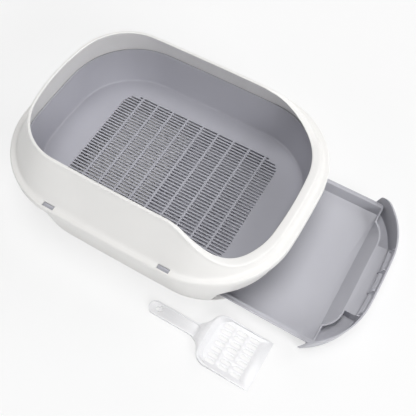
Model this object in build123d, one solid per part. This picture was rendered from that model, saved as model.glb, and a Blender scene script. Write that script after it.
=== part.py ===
from build123d import *
import math
import os

# Drawer litter box: white base shell, grey sieve basin, white splash guard, grey drawer, white scoop.
# Millimetres, +Z up. Origin: centre of the base's underside. +X is the end where the drawer pulls out.
# The drawer is modelled pulled out by DRAWER_OUT, as it stands at rest.

# ---- driving dimensions -------------------------------------------------------------------------
BOX_LENGTH = 552.0          # over the guard's skirt
BOX_WIDTH = 426.0
FLANGE_TOP = 135.0          # top of the guard's flat flange
RIM_HIGH = 207.0            # guard rim round the back, sides and far end
RIM_LOW = 150.0             # guard rim at the entry
ENTRY_RUN = 143.0           # length over which the rim dips
ENTRY_FROM_END = 40.0       # from the skirt's end to where the dip is done
ENTRY_LIP = 5.0             # how much further in the wall leans by the low rim
ENTRY_STEP = 0.4            # and at the flange
ENTRY_BACK = 20.0           # how far the leaning form passes the wall at the other end
SIEVE_LEVEL = 62.0          # top of the slotted floor
WALL = 2.8                  # guard and basin wall
BASE_WALL = 3.0
SEAT_GAP = 0.3              # between pieces that rest on each other
CORNER = 160.0              # corner radius of the skirt in plan
END_CROWN = 14.0            # how far the ends bow out
SIDE_CROWN = 4.0            # how far the long sides bow out

# guard
FLANGE_THICK = 3.0
SKIRT_DEPTH = 16.0
FLANGE_BAND = 12.0          # flat band between skirt edge and wall root
GUARD_ROOT = 14.0           # wall thickness at its root, over the hollow
CORE_DROP = 25.0            # from the high rim down to the top of the hollow
RIM_LEAN_END = 30.0         # how far the wall leans in by the rim, at the ends
RIM_LEAN_SIDE = 41.0
RIM_CORNER = 104.0
RIM_CROWN = 36.0
RIM_THICK = 5.0
WINDOW_LENGTH = 22.5        # openings in the flange for the basin's snap tabs
WINDOW_WIDTH = 8.2
WINDOW_FROM_CORNER = 1.0    # from the corner's start to the window's middle
WINDOW_EDGE = 4.2           # from the skirt's side to the window

# base shell
FOOT_IN_END = 23.0          # how far the foot stands in from the skirt
FOOT_IN_SIDE = 27.0
FOOT_IN_CORNER = 20.0
LEDGE_DROP = 9.5            # from the flange's underside down to the ledge
LEDGE_OUT = 3.5             # ledge that carries the basin's rim
LEDGE_THICK = 3.0
SKIRT_CLEAR = 1.2

# basin
BASIN_RIM_THICK = 2.5
BASIN_LIP_DROP = 1.0        # basin's upper edge below the flange's top
BASIN_RIM_INSET = 0.4
FLOOR_IN_END = 33.0         # how far the basin's floor stands in from the skirt
FLOOR_IN_SIDE = 45.0
FLOOR_IN_CORNER = 35.0
TAB_CLEAR = 0.5
TAB_SLOPE = 3.0
SLOT_ROWS = 37
SLOT_COLUMNS = 10
SLOT_PITCH = 6.55
SLOT_WIDTH = 3.3
COLUMN_PITCH = 34.65
COLUMN_RIB = 3.5
FIELD_CORNER = 25.0
RIB_DEPTH = 4.5

# drawer
DRAWER_OUT = 175.0          # how far the drawer stands open
TRAY_BACK_ROOM = 58.0       # from the foot's end to the tray's inner end, drawer closed
TRAY_FRONT_ROOM = 53.0      # from the foot's end to the tray's front wall at the rim
TRAY_SIDE_ROOM = 28.0       # from the foot's side to the tray's side rim
TRAY_RIM = 28.0             # height of the tray's rim
TRAY_RIM_WIDTH = 8.5
TRAY_WALL = 2.5
TRAY_DRAFT = 4.0            # how much narrower each side is at the floor
TRAY_RIM_CORNER = 8.0
RIM_GROOVE_IN = 2.2         # groove along the side rims, from their outer edge
RIM_GROOVE_WIDTH = 4.2
RIM_GROOVE_DEEP = 0.8
RAMP_REACH = 21.5           # how far the pouring ramp bulges past the front wall
RAMP_FLAT = 75.0            # half width of its straight part
RAMP_SIDE_ROOM = 42.0       # from its rounded ends to the tray's side rims
FASCIA_TOP = 50.0
FASCIA_OVER = 7.0           # how far the front reaches past the tray on each side
FASCIA_CORNER = 14.0        # rounding of the front's upper corners
FASCIA_THICK = 2.8
FASCIA_GAP = 0.6            # gap round the closed front
PLATE_HALF = 73.0
PLATE_LENGTH = 22.0
LEDGE_RISE = 4.0
LEDGE_IN = 9.0
GUSSET_PITCH = 46.0
GUSSET_THICK = 2.0
GUSSET_FOOT = 1.0           # from the plate's end to the gusset's foot
GUSSET_TOP = 8.0            # from the plate's end to the gusset's top
GUSSET_DROP = 2.0           # below the front's upper edge
STEP_SIDE_ROOM = 39.6       # from the tray's side rim to the raised strip's edge
STEP_END_ROOM = 22.0        # from the tray's front wall to the raised strip's end
STEP_CORNER = 8.0
STEP_RISE = 1.5
NOTCH_HALF = 72.0           # finger opening over the closed front
NOTCH_RISE = 15.4           # over the upper edge of the drawer's opening
NOTCH_CORNER = 10.0
RUNNER_THICK = 2.5
RUNNER_END_ROOM = 65.0      # from the foot's end to the runner's end
RUNNER_CLEAR = 1.0          # from the tray rim's edge to the runner

# scoop
SCOOP_X = 93.5              # handle end
SCOOP_BESIDE = 14.5         # from the box's side to the scoop's centre line
SCOOP_LENGTH = 224.5
HANDLE_WIDTH = 25.0
HANDLE_THICK = 6.0
HANDLE_FLAT = 98.0          # from the handle's end to where the neck rises
HANDLE_BEAD = 2.5           # rim round the handle's recess
RECESS_LENGTH = 101.0
RECESS_DEEP = 2.0
NECK_ROUND = 30.0           # radius of the hollow curve between handle and blade
BLADE_WIDTH = 96.0
BLADE_LENGTH = 112.0
BLADE_THICK = 2.2
BLADE_WALL = 2.4
BLADE_RIM = 13.0
BLADE_CORNER = 26.0
BOWL_BACK = 5.0             # from the blade's start to the bowl's back edge
BOWL_SLOPE = 9.0            # run of the bowl's back wall down to its floor
LIP_FLAT = 6.0              # flat lip in front of the side walls
SCOOP_SLOT_LENGTH = 19.0
SCOOP_SLOT_WIDTH = 7.0
SCOOP_SLOT_PITCH = 11.6
SCOOP_ROW_PITCH = 25.0
SCOOP_ROWS_MIDDLE = 55.5    # from the blade's lip to the middle of the slots
PAW_PAD = (17.0, 3.4)       # place along the handle and radius
PAW_TOES = ((22.0, 5.6, 1.5), (26.0, 2.1, 1.6))     # along, to each side, radius


# ---- outlines -----------------------------------------------------------------------------------
def bowed_outline(half_length, half_width, corner, end_crown, side_crown, z):
    """Face of a rounded rectangle whose ends and sides bow out: eight arcs, tangent to each other."""
    end_r = (half_width**2 + end_crown**2) / (2 * end_crown)
    side_r = (half_length**2 + side_crown**2) / (2 * side_crown)
    end_c = Vector(half_length - end_r, 0)
    side_c = Vector(0, half_width - side_r)
    between = side_c - end_c
    reach_end = end_r - corner
    reach_side = side_r - corner
    along = (reach_end**2 - reach_side**2 + between.length**2) / (2 * between.length)
    across = math.sqrt(reach_end**2 - along**2)
    unit = between.normalized()
    normal = Vector(-unit.Y, unit.X)
    centre = end_c + unit * along + normal * across
    if centre.X < 0 or centre.Y < 0:
        centre = end_c + unit * along - normal * across
    to_end = (centre - end_c).normalized()
    to_side = (centre - side_c).normalized()
    p_end = end_c + to_end * end_r
    p_side = side_c + to_side * side_r
    p_mid = centre + (to_end + to_side).normalized() * corner

    def at(p, sx, sy):
        return (p.X * sx, p.Y * sy, z)

    edges = [
        ThreePointArc(at(p_end, 1, -1), (half_length, 0, z), at(p_end, 1, 1)),
        ThreePointArc(at(p_end, 1, 1), at(p_mid, 1, 1), at(p_side, 1, 1)),
        ThreePointArc(at(p_side, 1, 1), (0, half_width, z), at(p_side, -1, 1)),
        ThreePointArc(at(p_side, -1, 1), at(p_mid, -1, 1), at(p_end, -1, 1)),
        ThreePointArc(at(p_end, -1, 1), (-half_length, 0, z), at(p_end, -1, -1)),
        ThreePointArc(at(p_end, -1, -1), at(p_mid, -1, -1), at(p_side, -1, -1)),
        ThreePointArc(at(p_side, -1, -1), (0, -half_width, z), at(p_side, 1, -1)),
        ThreePointArc(at(p_side, 1, -1), at(p_mid, 1, -1), at(p_end, 1, -1)),
    ]
    return Face(Wire(edges))


def inset(shape, d):
    """An outline's sizes moved in by d."""
    half_length, half_width, corner, end_crown, side_crown = shape
    return (half_length - d, half_width - d, corner - d, end_crown, side_crown)


def mix(a, b, share):
    return a + (b - a) * share


def between_shapes(low, high, z_low, z_high, z):
    """The outline's sizes at height z on the straight walls from low to high."""
    share = (z - z_low) / (z_high - z_low)
    return tuple(mix(a, b, share) for a, b in zip(low, high))


def tub(low, high, z_low, z_high):
    """Solid with straight walls from one outline to another."""
    return loft([bowed_outline(*low, z_low), bowed_outline(*high, z_high)], ruled=True)


def slab(shape, z_low, z_high):
    return extrude(bowed_outline(*shape, z_low), amount=z_high - z_low)


def block(x0, x1, y0, y1, z0, z1):
    centre = ((x0 + x1) / 2, (y0 + y1) / 2, (z0 + z1) / 2)
    return Pos(*centre) * Box(x1 - x0, y1 - y0, z1 - z0)


# ---- shapes shared by the pieces ----------------------------------------------------------------
SKIRT = (BOX_LENGTH / 2, BOX_WIDTH / 2, CORNER, END_CROWN, SIDE_CROWN)
ROOT = inset(SKIRT, FLANGE_BAND)
SKIRT_BOTTOM = FLANGE_TOP - SKIRT_DEPTH
LEDGE = inset(SKIRT, WALL + SKIRT_CLEAR)
BASE_TOP_SHAPE = inset(LEDGE, LEDGE_OUT)
FOOT = (
    BOX_LENGTH / 2 - FOOT_IN_END,
    BOX_WIDTH / 2 - FOOT_IN_SIDE,
    CORNER - FOOT_IN_CORNER,
    END_CROWN,
    SIDE_CROWN,
)
LEDGE_TOP = FLANGE_TOP - FLANGE_THICK - LEDGE_DROP
BASIN_RIM_TOP = LEDGE_TOP + SEAT_GAP + BASIN_RIM_THICK
BASIN_TOP = FLANGE_TOP - BASIN_LIP_DROP
GUARD_SEAT = BASIN_RIM_TOP + SEAT_GAP

RIM_OUT = (
    ROOT[0] - RIM_LEAN_END,
    ROOT[1] - RIM_LEAN_SIDE,
    RIM_CORNER,
    RIM_CROWN,
    SIDE_CROWN,
)
RIM_IN = inset(RIM_OUT, RIM_THICK)
GUARD_IN = inset(ROOT, GUARD_ROOT - WALL)
BASIN_OUT = inset(GUARD_IN, SEAT_GAP)
BASIN_IN = inset(BASIN_OUT, WALL)
BASIN_FLOOR_IN = (
    BOX_LENGTH / 2 - FLOOR_IN_END,
    BOX_WIDTH / 2 - FLOOR_IN_SIDE,
    CORNER - FLOOR_IN_CORNER,
    END_CROWN,
    SIDE_CROWN,
)
BASIN_FLOOR_OUT = inset(BASIN_FLOOR_IN, -WALL)
BASIN_BOTTOM = SIEVE_LEVEL - WALL
DRAWER_BOTTOM = BASE_WALL + SEAT_GAP
TRAY_FLOOR = DRAWER_BOTTOM + TRAY_WALL
OPENING_TOP = FASCIA_TOP + FASCIA_GAP
ENTRY_END = BOX_LENGTH / 2 - ENTRY_FROM_END
ENTRY_START = ENTRY_END - ENTRY_RUN
WINDOW_X = BOX_LENGTH / 2 - CORNER - WINDOW_FROM_CORNER
WINDOW_SIDE = BOX_WIDTH / 2 - WINDOW_EDGE
TRAY_BACK = TRAY_BACK_ROOM - FOOT[0]
TRAY_FRONT = FOOT[0] - TRAY_FRONT_ROOM
TRAY_HALF_WIDTH = FOOT[1] - TRAY_SIDE_ROOM
RAMP_HALF = TRAY_HALF_WIDTH - RAMP_SIDE_ROOM
FASCIA_HALF = TRAY_HALF_WIDTH + FASCIA_OVER
FAR = BOX_LENGTH            # well outside the box, for cutting forms


def base_outer(extra=0.0):
    """The base's outer form, made smaller by extra all round."""
    return tub(inset(FOOT, extra), inset(BASE_TOP_SHAPE, extra), 0, LEDGE_TOP)


def front_zone(half, z_low, z_high, corner):
    """Room of the drawer's front in the +X end, with rounded upper corners."""
    zone = block(TRAY_FRONT - TRAY_FRONT_ROOM, FAR, -half, half, z_low, z_high)
    upper = zone.edges().filter_by(Axis.X).sort_by(Axis.Z)[-2:]
    return fillet(upper, corner)


# ---- base shell ---------------------------------------------------------------------------------
def make_base_shell():
    floor_in = between_shapes(FOOT, BASE_TOP_SHAPE, 0, LEDGE_TOP, BASE_WALL)
    cavity = tub(inset(floor_in, BASE_WALL), inset(BASE_TOP_SHAPE, BASE_WALL), BASE_WALL, LEDGE_TOP)
    shell = base_outer() + slab(LEDGE, LEDGE_TOP - LEDGE_THICK, LEDGE_TOP) - cavity
    half = FASCIA_HALF + FASCIA_GAP
    shell -= front_zone(half, BASE_WALL, OPENING_TOP, FASCIA_CORNER + FASCIA_GAP)
    notch = RectangleRounded(2 * NOTCH_HALF, 2 * NOTCH_RISE, NOTCH_CORNER)
    shell -= Pos(TRAY_FRONT, 0, OPENING_TOP) * extrude(Plane.YZ * notch, amount=FAR)
    runner_out = TRAY_HALF_WIDTH - RUNNER_CLEAR
    runner_end = FOOT[0] - RUNNER_END_ROOM
    for side in (-1, 1):
        shell += block(
            -runner_end,
            runner_end,
            *sorted((side * runner_out, side * (runner_out - RUNNER_THICK))),
            BASE_WALL - 0.5,
            TRAY_RIM - TRAY_WALL - SEAT_GAP,
        )
    return shell


# ---- sieve basin --------------------------------------------------------------------------------
def make_sieve_basin():
    body = tub(BASIN_FLOOR_OUT, BASIN_OUT, BASIN_BOTTOM, BASIN_TOP)
    rim_low = LEDGE_TOP + SEAT_GAP
    body += slab(inset(LEDGE, BASIN_RIM_INSET), rim_low, rim_low + BASIN_RIM_THICK)
    body -= tub(BASIN_FLOOR_IN, BASIN_IN, SIEVE_LEVEL, BASIN_TOP)
    field_width = (SLOT_ROWS - 1) * SLOT_PITCH + SLOT_WIDTH
    field_length = SLOT_COLUMNS * COLUMN_PITCH - COLUMN_RIB
    rib_half = field_width / 2 + 3
    for i in range(1, SLOT_COLUMNS):
        x = (i - SLOT_COLUMNS / 2) * COLUMN_PITCH
        body += block(
            x - COLUMN_RIB / 2,
            x + COLUMN_RIB / 2,
            -rib_half,
            rib_half,
            BASIN_BOTTOM - RIB_DEPTH,
            BASIN_BOTTOM + 1,
        )
    slots = GridLocations(COLUMN_PITCH, SLOT_PITCH, SLOT_COLUMNS, SLOT_ROWS) * Rectangle(
        COLUMN_PITCH - COLUMN_RIB, SLOT_WIDTH
    )
    slots = Sketch() + slots
    slots = slots & RectangleRounded(field_length, field_width, FIELD_CORNER)
    body -= Pos(0, 0, BASIN_BOTTOM - 1) * extrude(slots, amount=WALL + 2)
    for sx in (-1, 1):
        for sy in (-1, 1):
            body += make_tab(sx, sy)
    return body


def make_tab(sx, sy):
    """Snap tab that stands up through a window in the guard's flange."""
    outer = WINDOW_SIDE - TAB_CLEAR
    inner = outer - WINDOW_WIDTH + 2 * TAB_CLEAR
    top = BASIN_TOP
    profile = Polyline(
        (outer, BASIN_RIM_TOP - 1),
        (outer, top - TAB_SLOPE),
        (inner + TAB_SLOPE, top),
        (inner, top),
        (inner, BASIN_RIM_TOP - 1),
        close=True,
    )
    half = WINDOW_LENGTH / 2 - TAB_CLEAR
    tab = extrude(Plane.YZ * make_face(profile), amount=half, both=True)
    if sy < 0:
        tab = mirror(tab, Plane.XZ)
    return Pos(sx * WINDOW_X, 0, 0) * tab


# ---- splash guard -------------------------------------------------------------------------------
def rim_cutter(drop):
    """What lies above the guard's rim, moved down by drop: a side profile with an S-shaped dip."""
    high = RIM_HIGH - drop
    low = RIM_LOW - drop
    above = RIM_HIGH + SKIRT_DEPTH
    middle = ((ENTRY_START + ENTRY_END) / 2, (high + low) / 2)
    dip = Spline(
        (ENTRY_START, high),
        middle,
        (ENTRY_END, low),
        tangents=[(1, 0), (1, 0)],
        tangent_scalars=[1.2, 1.2],
    )
    outline = [
        Line((-FAR, high), (ENTRY_START, high)),
        dip,
        Line((ENTRY_END, low), (FAR, low)),
        Line((FAR, low), (FAR, above)),
        Line((FAR, above), (-FAR, above)),
        Line((-FAR, above), (-FAR, high)),
    ]
    return extrude(Plane.XZ * make_face(Wire([e.edge() for e in outline])), amount=BOX_WIDTH, both=True)


def entry_form(grow):
    """Limits the guard's inside at the entry, where the wall leans in further; grown by a wall."""
    faces = []
    for z in (FLANGE_TOP - FLANGE_THICK - 1, RIM_HIGH + 3):
        shape = inset(between_shapes(GUARD_IN, RIM_IN, FLANGE_TOP, RIM_HIGH, z), -grow)
        length, width, corner, end_crown, side_crown = shape
        lean = mix(ENTRY_STEP, ENTRY_LIP, (z - FLANGE_TOP) / (RIM_LOW - FLANGE_TOP))
        longer = (length + ENTRY_BACK, width + 1, corner, end_crown, side_crown)
        faces.append(Pos(-lean - ENTRY_BACK, 0, 0) * bowed_outline(*longer, z))
    return loft(faces, ruled=True)


def make_splash_guard():
    top = RIM_HIGH + 2
    rim_out = between_shapes(ROOT, RIM_OUT, FLANGE_TOP, RIM_HIGH, top)
    rim_in = between_shapes(GUARD_IN, RIM_IN, FLANGE_TOP, RIM_HIGH, top)
    wall = tub(ROOT, rim_out, FLANGE_TOP, top)
    wall += slab(SKIRT, SKIRT_BOTTOM, FLANGE_TOP)
    under = slab(inset(SKIRT, WALL), SKIRT_BOTTOM, FLANGE_TOP - FLANGE_THICK)
    skin_out = inset(GUARD_IN, -WALL)
    foot = slab(skin_out, GUARD_SEAT, FLANGE_TOP)
    core_out = inset(ROOT, WALL)
    core_low = FLANGE_TOP - FLANGE_THICK - 0.01
    core_high = RIM_HIGH - CORE_DROP
    core_top = between_shapes(ROOT, RIM_OUT, FLANGE_TOP, RIM_HIGH, core_high)
    core_top_in = between_shapes(GUARD_IN, RIM_IN, FLANGE_TOP, RIM_HIGH, core_high)
    core = tub(core_out, inset(core_top, WALL), core_low, core_high)
    core -= tub(skin_out, inset(core_top_in, -WALL), core_low, core_high) & entry_form(WALL)
    core -= rim_cutter(WALL)
    guard = wall - under + foot - core
    guard -= slab(GUARD_IN, SKIRT_BOTTOM - 1, FLANGE_TOP)
    guard -= tub(GUARD_IN, rim_in, FLANGE_TOP, top) & entry_form(0)
    guard -= rim_cutter(0)
    for sx in (-1, 1):
        for sy in (-1, 1):
            guard -= block(
                sx * WINDOW_X - WINDOW_LENGTH / 2,
                sx * WINDOW_X + WINDOW_LENGTH / 2,
                *sorted((sy * WINDOW_SIDE, sy * (WINDOW_SIDE - WINDOW_WIDTH))),
                FLANGE_TOP - FLANGE_THICK - 1,
                FLANGE_TOP + 1,
            )
    return guard


# ---- drawer -------------------------------------------------------------------------------------
def ramp_form(grow, z_top):
    """The pouring ramp: from a straight line on the tray floor up to the bulged rim."""
    x0 = TRAY_FRONT - 5
    foot_x = TRAY_FRONT - 2.5 + grow
    rim_x = TRAY_FRONT + grow
    tip_x = TRAY_FRONT + RAMP_REACH + grow
    flat = RAMP_FLAT + grow
    half = RAMP_HALF + grow
    mid_x = foot_x + 0.5
    low = Wire.make_polygon(
        [(x0, -half), (foot_x, -half), (mid_x, -flat), (mid_x, flat), (foot_x, half), (x0, half)]
    )
    edges = [
        Line((x0, -half), (rim_x, -half)),
        TangentArc((tip_x, -flat), (rim_x, -half), tangent=(0, -1)),
        Line((tip_x, -flat), (tip_x, flat)),
        TangentArc((tip_x, flat), (rim_x, half), tangent=(0, 1)),
        Line((rim_x, half), (x0, half)),
        Line((x0, half), (x0, -half)),
    ]
    high = Wire([e.edge() for e in edges])
    low_face = Pos(0, 0, TRAY_FLOOR - grow) * Face(low)
    high_face = Pos(0, 0, z_top) * Face(high)
    return loft([low_face, high_face], ruled=True)


def tray_form(grow, z_low, z_high, front_grow):
    """The tray's inner form, grown by its wall for the outer form."""
    half_top = TRAY_HALF_WIDTH - TRAY_RIM_WIDTH + grow
    half_low = half_top - TRAY_DRAFT
    faces = []
    for half, z, ease in ((half_low, z_low, 2.0), (half_top, z_high, 0.0)):
        x0 = TRAY_BACK + TRAY_RIM_WIDTH - grow + ease
        x1 = TRAY_FRONT + front_grow - ease / 2
        faces.append(Pos((x0 + x1) / 2, 0, z) * RectangleRounded(x1 - x0, 2 * half, 4 + grow))
    return loft(faces, ruled=True)


def make_drawer():
    front = tub(FOOT, BASE_TOP_SHAPE, 0, LEDGE_TOP)
    front_in = tub(inset(FOOT, FASCIA_THICK), inset(BASE_TOP_SHAPE, FASCIA_THICK), 0, LEDGE_TOP)
    ledge_in = tub(inset(FOOT, LEDGE_IN), inset(BASE_TOP_SHAPE, LEDGE_IN), 0, LEDGE_TOP)
    fascia = (front - front_in) & front_zone(FASCIA_HALF, DRAWER_BOTTOM, FASCIA_TOP, FASCIA_CORNER)

    tray = tray_form(TRAY_WALL, DRAWER_BOTTOM, TRAY_RIM, TRAY_WALL)
    flange_x0 = TRAY_BACK
    flange_x1 = TRAY_FRONT + TRAY_WALL
    flange = Pos((flange_x0 + flange_x1) / 2, 0, TRAY_RIM - TRAY_WALL) * extrude(
        RectangleRounded(flange_x1 - flange_x0, 2 * TRAY_HALF_WIDTH, TRAY_RIM_CORNER), amount=TRAY_WALL
    )
    groove_out = TRAY_HALF_WIDTH - RIM_GROOVE_IN
    for side in (-1, 1):
        flange -= block(
            flange_x0 + TRAY_RIM_CORNER,
            flange_x1 - TRAY_WALL,
            *sorted((side * groove_out, side * (groove_out - RIM_GROOVE_WIDTH))),
            TRAY_RIM - RIM_GROOVE_DEEP,
            TRAY_RIM + 1,
        )
    pocket_floor = block(TRAY_FRONT - 10, FAR, -FASCIA_HALF, FASCIA_HALF, DRAWER_BOTTOM, TRAY_FLOOR) & front

    plate_x0 = TRAY_FRONT + RAMP_REACH - 1
    plate_x1 = TRAY_FRONT + RAMP_REACH + PLATE_LENGTH
    plate = block(plate_x0, plate_x1, -PLATE_HALF, PLATE_HALF, DRAWER_BOTTOM, TRAY_RIM)
    groove = block(plate_x1 - 1, FAR, -PLATE_HALF, PLATE_HALF, DRAWER_BOTTOM, TRAY_RIM - LEDGE_RISE) & front
    ledge = block(plate_x1 - 1, FAR, -PLATE_HALF, PLATE_HALF, DRAWER_BOTTOM, TRAY_RIM + LEDGE_RISE)
    ledge = ledge & (front - ledge_in)

    drawer = tray + flange + pocket_floor + ramp_form(TRAY_WALL, TRAY_RIM) + plate + groove + ledge + fascia
    hollow = Polyline(
        (TRAY_FRONT + 4, DRAWER_BOTTOM - 1),
        (TRAY_FRONT + RAMP_REACH + 1.5, TRAY_RIM - TRAY_WALL),
        (plate_x1 - TRAY_WALL, TRAY_RIM - TRAY_WALL),
        (plate_x1 - TRAY_WALL, DRAWER_BOTTOM - 1),
        close=True,
    )
    drawer -= extrude(Plane.XZ * make_face(hollow), amount=PLATE_HALF - TRAY_WALL, both=True)

    drawer -= tray_form(0, TRAY_FLOOR, TRAY_RIM, 0)
    drawer -= ramp_form(0, TRAY_RIM)
    for i in range(4):
        y = (i - 1.5) * GUSSET_PITCH
        drawer += make_gusset(plate_x1, y) & front
    step = block(
        TRAY_BACK + 12,
        TRAY_FRONT - STEP_END_ROOM,
        TRAY_RIM_WIDTH + 2 - TRAY_HALF_WIDTH,
        STEP_SIDE_ROOM - TRAY_HALF_WIDTH,
        TRAY_FLOOR - 1,
        TRAY_FLOOR + STEP_RISE,
    )
    step_corner = step.edges().filter_by(Axis.Z).sort_by(Axis.X)[-2:].sort_by(Axis.Y)[-1:]
    drawer += fillet(step_corner, STEP_CORNER)
    return Pos(DRAWER_OUT, 0, 0) * drawer


def make_gusset(plate_end, y):
    foot = TRAY_RIM - LEDGE_RISE
    top = FASCIA_TOP - GUSSET_DROP
    profile = Polyline(
        (plate_end + GUSSET_FOOT, foot - 0.5),
        (plate_end + GUSSET_FOOT, foot + 1),
        (plate_end + GUSSET_TOP, top),
        (FAR, top),
        (FAR, foot - 0.5),
        close=True,
    )
    return Pos(0, y, 0) * extrude(Plane.XZ * make_face(profile), amount=GUSSET_THICK / 2, both=True)


# ---- scoop --------------------------------------------------------------------------------------
def scoop_outline():
    """Handle, neck and blade in plan: the neck's hollow arcs meet the blade's corner arcs."""
    half = HANDLE_WIDTH / 2
    wide = BLADE_WIDTH / 2
    corner = Vector(SCOOP_LENGTH - BLADE_LENGTH + BLADE_CORNER, wide - BLADE_CORNER)
    rise = half + NECK_ROUND - corner.Y
    neck = Vector(corner.X - math.sqrt((NECK_ROUND + BLADE_CORNER) ** 2 - rise**2), half + NECK_ROUND)
    to_neck = (neck - corner).normalized()
    meet = corner + to_neck * BLADE_CORNER
    neck_mid = neck - (to_neck + Vector(0, 1)).normalized() * NECK_ROUND
    corner_mid = corner + (to_neck + Vector(0, 1)).normalized() * BLADE_CORNER
    edges = [
        ThreePointArc((half, -half), (0, 0), (half, half)),
        Line((SCOOP_LENGTH, wide), (SCOOP_LENGTH, -wide)),
    ]
    for side in (-1, 1):
        edges += [
            Line((half, side * half), (neck.X, side * half)),
            ThreePointArc((neck.X, side * half), (neck_mid.X, side * neck_mid.Y), (meet.X, side * meet.Y)),
            ThreePointArc((meet.X, side * meet.Y), (corner_mid.X, side * corner_mid.Y), (corner.X, side * wide)),
            Line((corner.X, side * wide), (SCOOP_LENGTH, side * wide)),
        ]
    return make_face([e.edge() for e in edges])


def side_cut(points, half):
    """Solid across the scoop with the given side profile."""
    return extrude(Plane.XZ * make_face(Polyline(*points, close=True)), amount=half, both=True)


def make_scoop():
    outline = scoop_outline()
    blade_x = SCOOP_LENGTH - BLADE_LENGTH
    back = blade_x + BOWL_BACK
    above = BLADE_RIM + 1
    scoop = extrude(outline, amount=BLADE_RIM)
    scoop -= side_cut(
        [
            (-1, above),
            (-1, HANDLE_THICK),
            (HANDLE_FLAT, HANDLE_THICK),
            (back, BLADE_RIM),
            (back + 15, BLADE_RIM),
            (SCOOP_LENGTH - LIP_FLAT, BLADE_THICK),
            (SCOOP_LENGTH + 1, BLADE_THICK),
            (SCOOP_LENGTH + 1, above),
        ],
        BLADE_WIDTH,
    )
    bowl_faces = []
    for start, z in ((back + BOWL_SLOPE, BLADE_THICK), (back, BLADE_RIM)):
        half = BLADE_WIDTH / 2 - BLADE_WALL
        middle = (start + FAR) / 2
        bowl_faces.append(Pos(middle, 0, z) * RectangleRounded(FAR - start, 2 * half, BLADE_CORNER - BLADE_WALL))
    scoop -= loft(bowl_faces, ruled=True)
    inside = extrude(offset(outline, amount=-BLADE_WALL), amount=BLADE_RIM)
    recess_end = HANDLE_BEAD + RECESS_LENGTH
    scoop -= inside & side_cut(
        [
            (recess_end + BLADE_WALL, -1),
            (recess_end + BLADE_WALL, HANDLE_THICK),
            (back - BLADE_WALL, BLADE_RIM - BLADE_WALL - 1),
            (back + BOWL_SLOPE - BLADE_WALL, -1),
        ],
        BLADE_WIDTH,
    )
    recess = SlotOverall(RECESS_LENGTH, HANDLE_WIDTH - 2 * HANDLE_BEAD)
    middle = HANDLE_BEAD + RECESS_LENGTH / 2
    scoop -= Pos(middle, 0, HANDLE_THICK - RECESS_DEEP) * extrude(recess, amount=BLADE_RIM)
    rows = Pos(SCOOP_LENGTH - SCOOP_ROWS_MIDDLE, 0) * GridLocations(SCOOP_ROW_PITCH, SCOOP_SLOT_PITCH, 3, 7)
    slots = Sketch() + rows * SlotOverall(SCOOP_SLOT_LENGTH, SCOOP_SLOT_WIDTH)
    scoop -= Pos(0, 0, -1) * extrude(slots, amount=BLADE_THICK + 2)
    pads = [(PAW_PAD[0], 0, PAW_PAD[1])]
    for x, y, r in PAW_TOES:
        pads += [(x, y, r), (x, -y, r)]
    for x, y, r in pads:
        scoop -= Pos(x, y, 0) * Cylinder(r, 2 * HANDLE_THICK)
    return Pos(SCOOP_X, -BOX_WIDTH / 2 - SCOOP_BESIDE, 0) * scoop


# ---- files --------------------------------------------------------------------------------------
os.makedirs("parts", exist_ok=True)
for name, make in (
    ("base_shell", make_base_shell),
    ("sieve_basin", make_sieve_basin),
    ("splash_guard", make_splash_guard),
    ("drawer", make_drawer),
    ("scoop", make_scoop),
):
    piece = make()
    export_step(piece, f"parts/{name}.step")
    print(name, len(piece.solids()), round(piece.volume / 1000, 1), "cm3", piece.bounding_box())
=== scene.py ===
import math

import bmesh
import bpy
import numpy as np
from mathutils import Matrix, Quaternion, Vector
from mathutils.geometry import delaunay_2d_cdt


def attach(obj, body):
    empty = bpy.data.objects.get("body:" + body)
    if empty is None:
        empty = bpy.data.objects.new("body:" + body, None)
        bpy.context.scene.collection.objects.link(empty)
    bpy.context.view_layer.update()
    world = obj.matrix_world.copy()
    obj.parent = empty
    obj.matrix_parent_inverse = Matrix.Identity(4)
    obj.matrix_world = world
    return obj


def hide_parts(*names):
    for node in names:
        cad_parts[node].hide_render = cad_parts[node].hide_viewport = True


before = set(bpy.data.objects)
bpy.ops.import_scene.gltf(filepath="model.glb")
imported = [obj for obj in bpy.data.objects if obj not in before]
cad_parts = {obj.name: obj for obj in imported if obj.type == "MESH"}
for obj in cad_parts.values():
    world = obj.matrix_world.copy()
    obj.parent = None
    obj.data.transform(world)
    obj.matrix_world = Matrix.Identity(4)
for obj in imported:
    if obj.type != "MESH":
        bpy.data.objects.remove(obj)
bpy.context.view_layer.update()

# ---- sizes, in millimetres, in the frame's own axes ---------------------------------------------
MM = 0.001
WALL = 2.8
SEAT_GAP = 0.3              # air under a rim that rests on another piece

RIM_HIGH = 207.0            # guard rim at the back and sides
RIM_LOW = 150.0             # guard rim at the entry
FLANGE_TOP = 135.0          # flat flange round the guard
FLANGE_THICK = 3.0
SKIRT_BOTTOM = 119.0
BASIN_TOP = 134.0
SIEVE_LEVEL = 62.0
BASIN_BOTTOM = SIEVE_LEVEL - WALL
LEDGE_TOP = 122.5           # the base's ledge, which carries the basin's rim
BASIN_RIM_LOW = LEDGE_TOP + SEAT_GAP
BASIN_RIM_THICK = 2.5
BASIN_RIM_TOP = BASIN_RIM_LOW + BASIN_RIM_THICK
GUARD_SEAT = BASIN_RIM_TOP + SEAT_GAP

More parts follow.
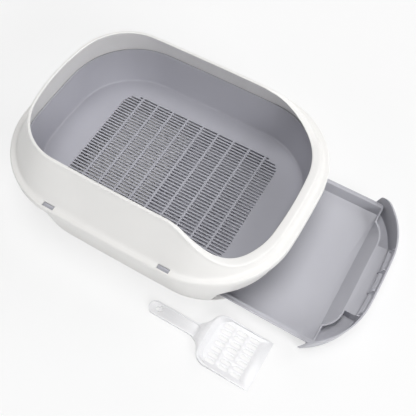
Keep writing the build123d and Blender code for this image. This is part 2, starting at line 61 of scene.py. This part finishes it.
# an outline is (half length, half width, corner radius, bow of the ends, bow of the sides)
SKIRT = (276.0, 213.0, 160.0, 14.0, 4.0)
ROOT = (264.0, 201.0, 148.0, 14.0, 4.0)
RIM_OUT = (234.0, 160.0, 104.0, 36.0, 4.0)
RIM_IN = (229.0, 155.0, 99.0, 36.0, 4.0)
GUARD_IN = (252.8, 189.8, 136.8, 14.0, 4.0)
BASIN_OUT = (252.5, 189.5, 136.5, 14.0, 4.0)
BASIN_IN = (249.7, 186.7, 133.7, 14.0, 4.0)
BASIN_FLOOR = (243.0, 168.0, 125.0, 14.0, 4.0)
LEDGE = (272.0, 209.0, 156.0, 14.0, 4.0)
ARC_STEPS = (10, 36, 22)    # points along half an end, a corner and half a side

# points round the skirt's lower edge, from inside to outside: (outwards, up)
SKIRT_LIP = ((-WALL, 0.8), (-WALL + 0.5, 0.0), (-0.9, 0.0), (-0.25, 0.3), (0.0, 1.0))
SKIRT_ROUND = 3.2           # radius along the skirt's upper edge
ROOT_ROUND = 4.0            # reach of the fillet between flange and wall
ENTRY_START = 93.0          # the rim dips between these two
ENTRY_END = 236.0
ENTRY_SWELL = 5.0           # how much further in the wall leans by the low rim
RIM_OUTER_ROUND = 2.6       # rounding of the rim's outer edge
ENTRY_OUTER_ROUND = 2.6     # how much more it is at the entry
RIM_INNER_ROUND = 1.3
KINK_ABOVE, KINK_BELOW = 0.8, 0.1       # the inner wall turns upright this near the flange's top
INWARD_REACH = 60.0         # an outline this far in gives the direction inward
SETTLE_PASSES = 8

SKIRT_STEPS, ROOT_STEPS, WALL_STEPS = 7, 6, 9       # rows of faces along the guard's stretches
OUTER_LIP_STEPS, INNER_LIP_STEPS, INNER_WALL_STEPS = 8, 5, 11
FOOT_STEPS, BASIN_WALL_STEPS, FLOOR_STEPS = 5, 7, 9     # and along the basin's

FLOOR_ROUND = 4.0           # basin wall into floor
FOOT_ROUND = 6.0            # the same edge outside: its reach along the floor
FOOT_SHARE = 0.1            # and up the wall, as a share of it
TOP_CHAMFER = 0.8           # basin's top edges
RIM_INSET = 0.4             # from the ledge's outline to the basin rim's edge
RIM_CHAMFER = 0.5

SLOT_ROWS, SLOT_COLUMNS = 37, 10
SLOT_PITCH, SLOT_WIDTH = 6.55, 3.3
COLUMN_PITCH, COLUMN_RIB = 34.65, 3.5
FIELD_CORNER = 25.0
FIELD_X = (SLOT_COLUMNS * COLUMN_PITCH - COLUMN_RIB) / 2
FIELD_Y = ((SLOT_ROWS - 1) * SLOT_PITCH + SLOT_WIDTH) / 2
SLOT_NIP = 0.7              # chamfer at a slot's corners
SLOT_FLARE = 0.35           # how much wider a slot is at the sieve's surface
RIB_DEPTH = 4.5
RIB_OVERRUN = 3.0           # a rib runs this far past the slots
RIB_SUNK, RIB_ROUND = 0.8, 0.4

WINDOW_X, WINDOW_EDGE = 115.0, 208.8
WINDOW_LENGTH, WINDOW_WIDTH = 22.5, 8.2
WINDOW_SIDES = [(sx, sy) for sx in (-1, 1) for sy in (-1, 1)]
CUT_PAST = 1.0              # a cutter reaches this far past what it cuts
TAB_CLEAR, TAB_SLOPE = 0.5, 3.0
TAB_SUNK, TAB_ROUND = 1.0, 0.5

# how far the edges of the three pieces that copy the CAD are rounded
BASE_ROUND, DRAWER_ROUND, SCOOP_ROUND = 0.8, 0.6, 0.6

# points nearer than this become one, in metres; in the slotted floor's plan, in millimetres
GUARD_WELD, BASIN_WELD, COPY_WELD = 1e-7, 2e-6, 1e-6
PLAN_WELD = 1e-6

# degrees between faces: a sharper edge is shaded hard, is rounded, or ends a flat stretch
GUARD_HARD, HARD = 32.0, 30.0
ROUNDED, FLAT = 35.0, 0.5


# ---- outlines and skins -------------------------------------------------------------------------
def arc(centre, radius, start, stop, steps):
    turn = np.linspace(start, stop, steps + 1)
    return np.column_stack([centre[0] + radius * np.cos(turn), centre[1] + radius * np.sin(turn)])


def bowed(shape):
    """Points of a rounded rectangle with bowed ends and sides: eight tangent arcs, from +X on."""
    length, width, corner, end_bow, side_bow = shape
    end_radius = (width**2 + end_bow**2) / (2 * end_bow)
    side_radius = (length**2 + side_bow**2) / (2 * side_bow)
    end_centre = np.array([length - end_radius, 0.0])
    side_centre = np.array([0.0, width - side_radius])
    gap = side_centre - end_centre
    span = np.hypot(*gap)
    reach_end, reach_side = end_radius - corner, side_radius - corner
    along = (reach_end**2 - reach_side**2 + span**2) / (2 * span)
    across = math.sqrt(reach_end**2 - along**2)
    unit = gap / span
    centre = end_centre + unit * along + np.array([-unit[1], unit[0]]) * across
    end_turn = math.atan2(centre[1], centre[0] - end_centre[0])
    side_turn = math.atan2(centre[1] - side_centre[1], centre[0])
    ends, corners, sides = ARC_STEPS
    quarter = np.vstack([
        arc(end_centre, end_radius, 0, end_turn, ends),
        arc(centre, corner, end_turn, side_turn, corners)[1:],
        arc(side_centre, side_radius, side_turn, math.pi / 2, sides)[1:],
    ])
    half = np.vstack([quarter, (quarter * [-1, 1])[-2::-1]])
    return np.vstack([half, (half * [1, -1])[-2:0:-1]])


def grown(shape, by):
    return (shape[0] + by, shape[1] + by, shape[2] + by, shape[3], shape[4])


def ring(shape, z):
    plan = bowed(shape)
    return np.column_stack([plan, np.full(len(plan), float(z))])


def mix(a, b, share):
    return a + (b - a) * share


def bend(a, corner, b, steps):
    """Rings of a curve from a to b that leaves and arrives along the lines to the corner."""
    return [
        (1 - t) ** 2 * a + 2 * t * (1 - t) * corner + t * t * b
        for t in np.linspace(0, 1, steps + 1)
    ]


def round_pairs(items):
    """Each item with the next one, and the last with the first."""
    return zip(items, items[1:] + items[:1])


def opened(mesh):
    work = bmesh.new()
    work.from_mesh(mesh)
    return work


def stored(work, mesh):
    work.to_mesh(mesh)
    work.free()
    return mesh


def new_piece(name, mesh, material):
    piece = bpy.data.objects.new(name, mesh)
    bpy.context.scene.collection.objects.link(piece)
    mesh.materials.clear()
    mesh.materials.append(material)
    return piece


def skin_mesh(name, rings, close=True):
    """Quads between rings of equal length, in millimetres; last and first join if it closes."""
    rows, count = len(rings), len(rings[0])
    points = np.vstack(rings) * MM
    faces = []
    for row in range(rows if close else rows - 1):
        low, high = row * count, (row + 1) % rows * count
        for i, j in round_pairs(list(range(count))):
            faces.append((low + i, low + j, high + j, high + i))
    mesh = bpy.data.meshes.new(name)
    mesh.from_pydata([tuple(p) for p in points], [], faces)
    mesh.validate()
    return mesh


def smooth(piece, angle):
    """Smooth shading, with hard edges where faces meet at more than the angle."""
    work = opened(piece.data)
    for face in work.faces:
        face.smooth = True
    for edge in work.edges:
        edge.smooth = len(edge.link_faces) == 2 and edge.calc_face_angle(0) < math.radians(angle)
    stored(work, piece.data)


def apply_modifiers(piece):
    graph = bpy.context.evaluated_depsgraph_get()
    mesh = bpy.data.meshes.new_from_object(piece.evaluated_get(graph))
    piece.modifiers.clear()
    piece.data = mesh


def round_edges(work, width):
    bmesh.ops.bevel(
        work, geom=work.edges[:], offset=width * MM, segments=2, profile=0.5,
        affect="EDGES", clamp_overlap=True,
    )


def block_mesh(name, low, high, rounding=0.0):
    """Box between two corners, in millimetres."""
    work = bmesh.new()
    bmesh.ops.create_cube(work, size=1.0)
    for vert in work.verts:
        vert.co = Vector([mix(l, h, c + 0.5) * MM for l, h, c in zip(low, high, vert.co)])
    if rounding:
        round_edges(work, rounding)
    return stored(work, bpy.data.meshes.new(name))


def cut(piece, cutters):
    """Takes the cutters' meshes out of the piece."""
    for mesh in cutters:
        tool = bpy.data.objects.new("cutter", mesh)
        bpy.context.scene.collection.objects.link(tool)
        step = piece.modifiers.new("cut", "BOOLEAN")
        step.operation = "DIFFERENCE"
        step.solver = "EXACT"
        step.object = tool
        apply_modifiers(piece)
        bpy.data.objects.remove(tool)


# ---- materials ----------------------------------------------------------------------------------
CLOUD_SCALE = 14.0          # per metre: clouds about 7 cm across
CLOUD = 0.03                # how much the colour varies with them
GRAIN = 1.2                 # millimetres between the grain's bumps
GRAIN_STRENGTH = 0.35
GLOSS_SPREAD = 0.06         # how much the roughness varies with the grain
PLASTIC_IOR = 1.49
PLASTIC_SHEEN = 0.5


def colour(code):
    """Linear RGBA of an sRGB hex code."""
    parts = [int(code[i:i + 2], 16) / 255 for i in (1, 3, 5)]
    return (*[c / 12.92 if c <= 0.04045 else ((c + 0.055) / 1.055) ** 2.4 for c in parts], 1.0)


def add(tree, kind, links=(), **settings):
    """Adds a node. Settings name its own properties or sockets; links are (socket, output)."""
    node = tree.nodes.new(kind)
    for key, value in settings.items():
        if hasattr(node, key):
            setattr(node, key, value)
        else:
            node.inputs[key.replace("_", " ")].default_value = value
    for socket, output in links:
        tree.links.new(node.inputs[socket], output)
    return node


def empty_tree(owner):
    """The node tree of a material or a world, with nothing in it."""
    owner.use_nodes = True
    owner.node_tree.nodes.clear()
    return owner.node_tree


def moulded(name, code, roughness, grain_depth):
    """Injection-moulded polypropylene: faint clouds in the colour, an eroded grain in the gloss."""
    material = bpy.data.materials.new(name)
    tree = empty_tree(material)
    place = add(tree, "ShaderNodeTexCoord").outputs["Object"]
    clouds = add(
        tree, "ShaderNodeTexNoise", [("Vector", place)],
        Scale=CLOUD_SCALE, Detail=3.0, Roughness=0.5,
    )
    base = colour(code)
    tint = add(tree, "ShaderNodeMix", [("Factor", clouds.outputs["Fac"])], data_type="RGBA")
    tint.inputs["A"].default_value = (*[c * (1 - CLOUD) for c in base[:3]], 1)
    tint.inputs["B"].default_value = (*[min(1, c * (1 + CLOUD)) for c in base[:3]], 1)
    grain = add(
        tree, "ShaderNodeTexNoise", [("Vector", place)],
        Scale=1 / (GRAIN * MM), Detail=2.0, Roughness=0.6,
    )
    gloss = add(
        tree, "ShaderNodeMapRange", [("Value", grain.outputs["Fac"])],
        To_Min=roughness - GLOSS_SPREAD, To_Max=roughness + GLOSS_SPREAD,
    )
    bump = add(
        tree, "ShaderNodeBump", [("Height", grain.outputs["Fac"])],
        Strength=GRAIN_STRENGTH, Distance=grain_depth * MM,
    )
    skin = add(
        tree, "ShaderNodeBsdfPrincipled",
        [
            ("Base Color", tint.outputs["Result"]),
            ("Roughness", gloss.outputs["Result"]),
            ("Normal", bump.outputs["Normal"]),
        ],
        IOR=PLASTIC_IOR, Specular_IOR_Level=PLASTIC_SHEEN,
    )
    add(tree, "ShaderNodeOutputMaterial", [("Surface", skin.outputs["BSDF"])])
    return material


# Base and guard: a milky white that stays just short of the paper's, with wide soft highlights
# along the rims.
WHITE_PP = moulded("white_polypropylene_satin_moulded", "#F1F0EE", 0.42, 0.02)
# Basin: a cool mid grey; its rougher skin and deeper grain spread the light, so the walls grade
# without a glint.
GREY_PP = moulded("grey_polypropylene_fine_grain", "#B5B5BD", 0.5, 0.03)
# Drawer: the same cool grey a shade paler and smoother, so its rims and gussets carry pale edges.
DRAWER_PP = moulded("grey_polypropylene_satin_moulded", "#BABAC1", 0.42, 0.02)
# Scoop: a glossier, colder white, a little under the paper's, so that its slots and rims show.
SCOOP_PP = moulded("white_polypropylene_gloss_moulded", "#ECECEE", 0.28, 0.01)


# ---- splash guard -------------------------------------------------------------------------------
def rim_height(x):
    """Height of the guard's rim along the box: level, then an S-shaped dip to the entry."""
    t = np.clip((x - ENTRY_START) / (ENTRY_END - ENTRY_START), 0, 1)
    return mix(RIM_HIGH, RIM_LOW, t * t * (3 - 2 * t))


def make_guard():
    root, rim_out = bowed(ROOT), bowed(RIM_OUT)
    inner_root, rim_in = bowed(GUARD_IN), bowed(RIM_IN)
    inward = bowed(grown(RIM_OUT, -INWARD_REACH)) - rim_out
    inward /= np.linalg.norm(inward, axis=1)[:, None]

    def on_wall(foot, top, z):
        share = (z - FLANGE_TOP) / (RIM_HIGH - FLANGE_TOP)
        return mix(foot, top, share[:, None])

    # the wall leans in, so the rim's place and its height are settled together
    high = np.full(len(root), RIM_HIGH)
    for _ in range(SETTLE_PASSES):
        high = rim_height(on_wall(root, rim_out, high)[:, 0])
    dipped = (RIM_HIGH - high) / (RIM_HIGH - RIM_LOW)

    def outer(z):
        return np.column_stack([on_wall(root, rim_out, z), z])

    def inner(z):
        climb = np.clip((z - FLANGE_TOP) / (high - FLANGE_TOP), 0, 1)
        swell = ENTRY_SWELL * dipped * climb
        return np.column_stack([on_wall(inner_root, rim_in, z) + inward * swell[:, None], z])

    level = np.ones(len(root))
    fillet_top = level * (FLANGE_TOP + ROOT_ROUND)
    outer_round = RIM_OUTER_ROUND + ENTRY_OUTER_ROUND * dipped
    shoulder = high - outer_round
    in_shoulder = high - RIM_INNER_ROUND
    rings = [ring(grown(SKIRT, out), SKIRT_BOTTOM + up) for out, up in SKIRT_LIP]
    for turn in np.linspace(0, math.pi / 2, SKIRT_STEPS + 1):
        in_by = SKIRT_ROUND * (math.cos(turn) - 1)
        rings.append(ring(grown(SKIRT, in_by), FLANGE_TOP - SKIRT_ROUND * (1 - math.sin(turn))))
    rings += bend(
        ring(grown(ROOT, ROOT_ROUND), FLANGE_TOP), ring(ROOT, FLANGE_TOP),
        outer(fillet_top), ROOT_STEPS,
    )
    for share in np.linspace(0, 1, WALL_STEPS + 1)[1:]:
        rings.append(outer(mix(fillet_top, shoulder, share)))
    out_top, in_top = outer(shoulder), inner(in_shoulder)
    across = (in_top - out_top)[:, :2]
    across /= np.linalg.norm(across, axis=1)[:, None]
    for turn in np.linspace(0, math.pi / 2, OUTER_LIP_STEPS + 1)[1:]:
        lip = out_top.copy()
        lip[:, :2] += across * (outer_round * (1 - math.cos(turn)))[:, None]
        lip[:, 2] = shoulder + outer_round * math.sin(turn)
        rings.append(lip)
    for turn in np.linspace(math.pi / 2, 0, INNER_LIP_STEPS + 1)[:-1]:
        lip = in_top.copy()
        lip[:, :2] -= across * RIM_INNER_ROUND * (1 - math.cos(turn))
        lip[:, 2] = in_shoulder + RIM_INNER_ROUND * math.sin(turn)
        rings.append(lip)
    for share in np.linspace(0, 1, INNER_WALL_STEPS + 1):
        rings.append(inner(mix(in_shoulder, level * (FLANGE_TOP + KINK_ABOVE), share)))
    rings += [
        ring(GUARD_IN, FLANGE_TOP - KINK_BELOW),
        ring(GUARD_IN, GUARD_SEAT),
        ring(grown(GUARD_IN, WALL), GUARD_SEAT),
        ring(grown(GUARD_IN, WALL), FLANGE_TOP - FLANGE_THICK),
        ring(grown(SKIRT, -WALL), FLANGE_TOP - FLANGE_THICK),
    ]
    mesh = skin_mesh("splash_guard_moulding", rings)
    work = opened(mesh)
    bmesh.ops.remove_doubles(work, verts=work.verts, dist=GUARD_WELD)
    bmesh.ops.recalc_face_normals(work, faces=work.faces)
    stored(work, mesh)
    guard = new_piece("splash_guard_moulding", mesh, WHITE_PP)
    cutters = []
    for sx, sy in WINDOW_SIDES:
        ys = sorted((sy * WINDOW_EDGE, sy * (WINDOW_EDGE - WINDOW_WIDTH)))
        x = sx * WINDOW_X
        cutters.append(block_mesh(
            "window",
            (x - WINDOW_LENGTH / 2, ys[0], FLANGE_TOP - FLANGE_THICK - CUT_PAST),
            (x + WINDOW_LENGTH / 2, ys[1], FLANGE_TOP + CUT_PAST),
        ))
    cut(guard, cutters)
    smooth(guard, GUARD_HARD)
    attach(guard, "guard")
    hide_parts("splash_guard")


# ---- sieve basin --------------------------------------------------------------------------------
def slot_outlines():
    """The sieve's slots in plan, clipped by the field's rounded corners."""
    half = (COLUMN_PITCH - COLUMN_RIB) / 2
    slots = []
    for row in range(SLOT_ROWS):
        y = (row - (SLOT_ROWS - 1) / 2) * SLOT_PITCH
        over = max(0.0, abs(y) + SLOT_WIDTH / 2 - (FIELD_Y - FIELD_CORNER))
        reach = FIELD_X - FIELD_CORNER + math.sqrt(max(0.0, FIELD_CORNER**2 - over**2))
        for column in range(SLOT_COLUMNS):
            x = (column - (SLOT_COLUMNS - 1) / 2) * COLUMN_PITCH
            x0, x1 = max(x - half, -reach), min(x + half, reach)
            if x1 - x0 > SLOT_WIDTH:
                slots.append((x0, y - SLOT_WIDTH / 2, x1, y + SLOT_WIDTH / 2))
    return slots


def slot_loop(slot, grow):
    """Corner points of one slot, with small chamfers, grown by a margin."""
    x0, y0, x1, y1 = slot[0] - grow, slot[1] - grow, slot[2] + grow, slot[3] + grow
    nip = SLOT_NIP + grow
    return [
        (x0 + nip, y0), (x1 - nip, y0), (x1, y0 + nip), (x1, y1 - nip),
        (x1 - nip, y1), (x0 + nip, y1), (x0, y1 - nip), (x0, y0 + nip),
    ]


def slotted_floor(outline, slots, grow):
    """Triangles of a flat floor inside the outline, round the slots: (points, faces)."""
    points = [Vector(p) for p in outline]
    loops = [list(range(len(points)))]
    for slot in slots:
        first = len(points)
        points += [Vector(p) for p in slot_loop(slot, grow)]
        loops.append(list(range(first, len(points))))
    edges = [pair for loop in loops for pair in round_pairs(loop)]
    verts, _, faces, *_ = delaunay_2d_cdt(points, edges, [], 1, PLAN_WELD)
    holes = np.array(slots)
    kept = []
    for face in faces:
        x, y = sum((verts[i] for i in face), Vector((0, 0))) / len(face)
        in_x = (holes[:, 0] < x) & (x < holes[:, 2])
        in_y = (holes[:, 1] < y) & (y < holes[:, 3])
        if not (in_x & in_y).any():
            kept.append(face)
    return verts, kept


def tab_mesh(sx, sy):
    """Snap tab with a sloped outer face, standing up through a window of the guard."""
    outer = WINDOW_EDGE - TAB_CLEAR
    inner = outer - WINDOW_WIDTH + 2 * TAB_CLEAR
    foot = BASIN_RIM_TOP - TAB_SUNK
    profile = [
        (outer, foot), (outer, BASIN_TOP - TAB_SLOPE), (inner + TAB_SLOPE, BASIN_TOP),
        (inner, BASIN_TOP), (inner, foot),
    ]
    half = WINDOW_LENGTH / 2 - TAB_CLEAR
    work = bmesh.new()
    ends = [
        [work.verts.new(((sx * WINDOW_X + x) * MM, sy * y * MM, z * MM)) for y, z in profile]
        for x in (-half, half)
    ]
    for (a, b), (c, d) in zip(*map(round_pairs, ends)):
        work.faces.new((a, b, d, c))
    for end in ends:
        work.faces.new(end)
    bmesh.ops.recalc_face_normals(work, faces=work.faces)
    round_edges(work, TAB_ROUND)
    return stored(work, bpy.data.meshes.new("tab"))


def add_slotted_floors(work, top_outline, bottom_outline):
    """The sieve's two faces, and the walls of its slots between them."""
    slots = slot_outlines()
    for outline, z, grow, flip in (
        (top_outline, SIEVE_LEVEL, SLOT_FLARE, False),
        (bottom_outline, BASIN_BOTTOM, 0.0, True),
    ):
        points, faces = slotted_floor(outline, slots, grow)
        made = [work.verts.new((p.x * MM, p.y * MM, z * MM)) for p in points]
        for face in faces:
            order = reversed(face) if flip else face
            work.faces.new([made[i] for i in order])
    levels = (SLOT_FLARE, SIEVE_LEVEL), (0.0, SIEVE_LEVEL - SLOT_FLARE), (0.0, BASIN_BOTTOM)
    for slot in slots:
        loops = [
            [work.verts.new((x * MM, y * MM, z * MM)) for x, y in slot_loop(slot, grow)]
            for grow, z in levels
        ]
        for upper, lower in zip(loops, loops[1:]):
            for (a, b), (c, d) in zip(round_pairs(upper), round_pairs(lower)):
                work.faces.new((a, b, d, c))


def make_basin():
    wall_in, floor_in = bowed(BASIN_IN), bowed(BASIN_FLOOR)
    low, high = ring(grown(BASIN_FLOOR, WALL), BASIN_BOTTOM), ring(BASIN_OUT, BASIN_TOP)

    def inside(z):
        plan = mix(floor_in, wall_in, (z - SIEVE_LEVEL) / (BASIN_TOP - SIEVE_LEVEL))
        return np.column_stack([plan, np.full(len(plan), z)])

    def outside(z):
        return mix(low, high, (z - BASIN_BOTTOM) / (BASIN_TOP - BASIN_BOTTOM))

    rings = bend(
        ring(grown(BASIN_FLOOR, WALL - FOOT_ROUND), BASIN_BOTTOM), low,
        mix(low, high, FOOT_SHARE), FOOT_STEPS,
    )
    rim_edge, rim_flat = grown(LEDGE, -RIM_INSET), grown(LEDGE, -RIM_INSET - RIM_CHAMFER)
    chamfer_foot = BASIN_TOP - TOP_CHAMFER
    rings += [
        outside(BASIN_RIM_LOW),
        ring(rim_flat, BASIN_RIM_LOW),
        ring(rim_edge, BASIN_RIM_LOW + RIM_CHAMFER),
        ring(rim_edge, BASIN_RIM_TOP - RIM_CHAMFER),
        ring(rim_flat, BASIN_RIM_TOP),
        outside(BASIN_RIM_TOP),
        ring(BASIN_OUT, chamfer_foot),
        ring(grown(BASIN_OUT, -TOP_CHAMFER), BASIN_TOP),
        ring(grown(BASIN_IN, TOP_CHAMFER), BASIN_TOP),
    ]
    for z in np.linspace(chamfer_foot, SIEVE_LEVEL + FLOOR_ROUND, BASIN_WALL_STEPS + 1):
        rings.append(inside(z))
    floor_edge = ring(grown(BASIN_FLOOR, -FLOOR_ROUND), SIEVE_LEVEL)
    rings += bend(rings[-1], inside(SIEVE_LEVEL), floor_edge, FLOOR_STEPS)[1:]
    mesh = skin_mesh("sieve_basin_moulding", rings, close=False)

    work = opened(mesh)
    reach = FIELD_Y + RIB_OVERRUN
    for rib in range(1, SLOT_COLUMNS):
        x = (rib - SLOT_COLUMNS / 2) * COLUMN_PITCH
        work.from_mesh(block_mesh(
            "rib",
            (x - COLUMN_RIB / 2, -reach, BASIN_BOTTOM - RIB_DEPTH),
            (x + COLUMN_RIB / 2, reach, BASIN_BOTTOM + RIB_SUNK),
            rounding=RIB_ROUND,
        ))
    for sx, sy in WINDOW_SIDES:
        work.from_mesh(tab_mesh(sx, sy))
    add_slotted_floors(work, rings[-1][:, :2], rings[0][:, :2])
    bmesh.ops.remove_doubles(work, verts=work.verts, dist=BASIN_WELD)
    bmesh.ops.recalc_face_normals(work, faces=work.faces)
    stored(work, mesh)
    basin = new_piece("sieve_basin_moulding", mesh, GREY_PP)
    smooth(basin, HARD)
    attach(basin, "basin")
    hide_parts("sieve_basin")


# ---- base, drawer and scoop: the CAD meshes with rounded edges ----------------------------------
def rounded_copy(node, name, body, material, width, merge_flats=True):
    """A copy of a CAD node's mesh whose sharp edges are rounded by width, in millimetres."""
    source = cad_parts[node].data
    mesh = bpy.data.meshes.new(name)
    points = [tuple(v.co) for v in source.vertices]
    mesh.from_pydata(points, [], [tuple(f.vertices) for f in source.polygons])
    work = opened(mesh)
    bmesh.ops.remove_doubles(work, verts=work.verts, dist=COPY_WELD)
    if merge_flats:
        bmesh.ops.dissolve_limit(
            work, angle_limit=math.radians(FLAT), verts=work.verts, edges=work.edges
        )
    stored(work, mesh)
    piece = new_piece(name, mesh, material)
    step = piece.modifiers.new("rounding", "BEVEL")
    step.width = width * MM
    step.segments = 2
    step.limit_method = "ANGLE"
    step.angle_limit = math.radians(ROUNDED)
    step.use_clamp_overlap = True
    step.miter_outer = "MITER_ARC"
    apply_modifiers(piece)
    work = opened(piece.data)
    bmesh.ops.triangulate(work, faces=[f for f in work.faces if len(f.verts) > 4])
    stored(work, piece.data)
    smooth(piece, HARD)
    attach(piece, body)
    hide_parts(node)


make_guard()
make_basin()
rounded_copy("base_shell", "base_shell_moulding", "base", WHITE_PP, BASE_ROUND)
# the drawer's flats stay in triangles: merged into large faces, its tray would shade black
rounded_copy(
    "drawer", "drawer_moulding", "drawer", DRAWER_PP, DRAWER_ROUND, merge_flats=False
)
rounded_copy("scoop", "scoop_moulding", "scoop", SCOOP_PP, SCOOP_ROUND)


# ---- camera, floor and light --------------------------------------------------------------------
CAMERA_PLACE = Vector((386.1, -547.5, 1097.2)) * MM
CAMERA_AIM = Vector((83.5, -3.6, 0.0)) * MM
CAMERA_ROLL = math.radians(1.326)
CAMERA_LENS, CAMERA_SENSOR = 56.33, 36.0
CAMERA_REACH = 20.0         # metres

WHITE = (1, 1, 1, 1)
FLOOR_GLOW = 0.68           # how much of the floor's white, as the camera sees it, is its own
FLOOR_REACH = 6.0           # metres
FLOOR_DROP = 0.2            # millimetres under the box
WORLD_FILL = 0.02           # the faint light that comes from all round

LAMP_AIM = (0.1, -0.02, 0.05)
# name, place and diameter in metres, power in watts
LAMPS = (
    ("top_softbox", (0.2, 0.0, 6.0), 3.2, 170.0),
    ("right_softbox", (4.9, -2.3, 2.6), 2.6, 176.0),
    ("front_left_fill", (-3.2, -4.6, 2.6), 3.2, 76.0),
    ("back_right_softbox", (3.4, 3.4, 3.8), 2.6, 82.0),
    ("back_softbox", (0.1, 5.2, 3.4), 3.2, 58.0),
)


def make_camera():
    data = bpy.data.cameras.new("camera")
    data.lens = CAMERA_LENS
    data.sensor_width = CAMERA_SENSOR
    data.clip_end = CAMERA_REACH
    camera = bpy.data.objects.new("camera", data)
    camera.location = CAMERA_PLACE
    look = (CAMERA_AIM - CAMERA_PLACE).to_track_quat("-Z", "Y")
    camera.rotation_mode = "QUATERNION"
    camera.rotation_quaternion = look @ Quaternion((0, 0, 1), CAMERA_ROLL)
    bpy.context.scene.collection.objects.link(camera)
    bpy.context.scene.camera = camera


def make_floor():
    """White paper, part of whose white is its own to the camera, so shadows stay soft and pale."""
    material = bpy.data.materials.new("white_paper_backdrop")
    tree = empty_tree(material)
    paper = add(tree, "ShaderNodeBsdfDiffuse", Color=colour("#F4F4F4"))
    glow = add(tree, "ShaderNodeEmission", Color=WHITE, Strength=1.0)
    path = add(tree, "ShaderNodeLightPath")
    seen = add(
        tree, "ShaderNodeMath",
        [(0, path.outputs["Is Camera Ray"]), (1, path.outputs["Is Glossy Ray"])],
        operation="MAXIMUM",
    )
    share = add(tree, "ShaderNodeMath", [(0, seen.outputs[0])], operation="MULTIPLY")
    share.inputs[1].default_value = FLOOR_GLOW
    both = add(
        tree, "ShaderNodeMixShader",
        [(0, share.outputs[0]), (1, paper.outputs[0]), (2, glow.outputs[0])],
    )
    add(tree, "ShaderNodeOutputMaterial", [("Surface", both.outputs[0])])
    mesh = bpy.data.meshes.new("floor")
    corners = [(x * FLOOR_REACH, y * FLOOR_REACH, 0) for x, y in ((-1, -1), (1, -1), (1, 1), (-1, 1))]
    mesh.from_pydata(corners, [], [(0, 1, 2, 3)])
    floor = new_piece("floor", mesh, material)
    floor.location.z = -FLOOR_DROP * MM


def make_lamp(name, place, size, power):
    data = bpy.data.lights.new(name, "AREA")
    data.shape = "DISK"
    data.size = size
    data.energy = power
    lamp = bpy.data.objects.new(name, data)
    lamp.location = place
    lamp.rotation_mode = "QUATERNION"
    lamp.rotation_quaternion = (Vector(LAMP_AIM) - Vector(place)).to_track_quat("-Z", "Y")
    bpy.context.scene.collection.objects.link(lamp)


def make_world():
    """White to the camera; to everything else only a faint fill."""
    world = bpy.data.worlds.new("studio")
    tree = empty_tree(world)
    path = add(tree, "ShaderNodeLightPath")
    soft = add(tree, "ShaderNodeBackground", Color=WHITE, Strength=WORLD_FILL)
    white = add(tree, "ShaderNodeBackground", Color=WHITE, Strength=1.0)
    both = add(
        tree, "ShaderNodeMixShader",
        [(0, path.outputs["Is Camera Ray"]), (1, soft.outputs[0]), (2, white.outputs[0])],
    )
    add(tree, "ShaderNodeOutputWorld", [("Surface", both.outputs[0])])
    bpy.context.scene.world = world


make_camera()
make_floor()
make_world()
for lamp in LAMPS:
    make_lamp(*lamp)
bpy.context.scene.view_settings.view_transform = "Standard"
